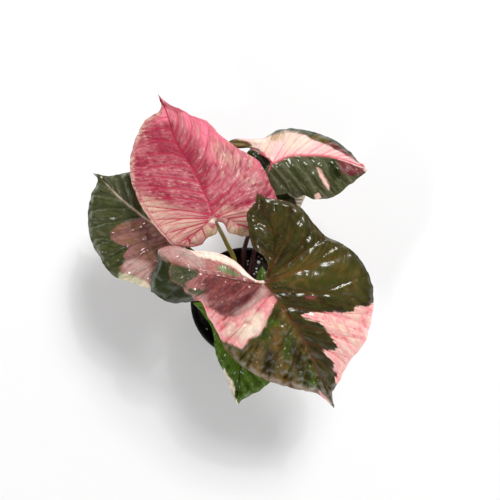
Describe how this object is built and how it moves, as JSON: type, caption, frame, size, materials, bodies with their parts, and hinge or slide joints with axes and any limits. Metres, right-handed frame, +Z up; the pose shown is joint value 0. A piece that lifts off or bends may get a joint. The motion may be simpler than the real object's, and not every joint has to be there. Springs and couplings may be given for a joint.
{
  "type": "potted arrowhead plant",
  "caption": "Compact foliage plant with broad arrow-shaped variegated leaves on slim stalks, rooted in a filled round nursery pot with a flat base.",
  "frame": {"origin": "centre of the pot's flat base, on the surface that the pot stands on", "axes": "+Z up through the pot, +Y towards the back leaves, +X to the right as seen from the front"},
  "size_m": [0.2503, 0.2765, 0.183],
  "materials": {
    "pot_plastic": "semi-matt black nursery plastic",
    "potting_mix": "dark moist potting mix with white perlite grains",
    "rose_leaf": "satin rose and cream leaf with crimson veins",
    "bronze_leaf": "glossy olive-bronze leaf with coral and cream sectors",
    "cream_leaf": "satin leaf, half cream with rose veins and half grey green",
    "dark_leaf": "glossy dark green leaf with pale veins",
    "green_leaf": "glossy bright green leaf with a white edge sliver",
    "olive_stalk": "smooth olive-yellow leaf stalk",
    "green_stalk": "smooth green leaf stalk",
    "red_stalk": "smooth dark red leaf stalk"
  },
  "bodies": {
    "root": {"pot": "pot_plastic", "potting_mix": "potting_mix", "back_left_blade": "rose_leaf", "front_blade": "bronze_leaf", "back_right_blade": "cream_leaf", "left_blade": "dark_leaf", "low_front_blade": "green_leaf", "low_back_blade": "dark_leaf", "back_left_stalk": "olive_stalk", "front_stalk": "green_stalk", "back_right_stalk": "red_stalk", "left_stalk": "green_stalk", "low_front_stalk": "green_stalk", "low_back_stalk": "red_stalk"}
  },
  "joints": []
}
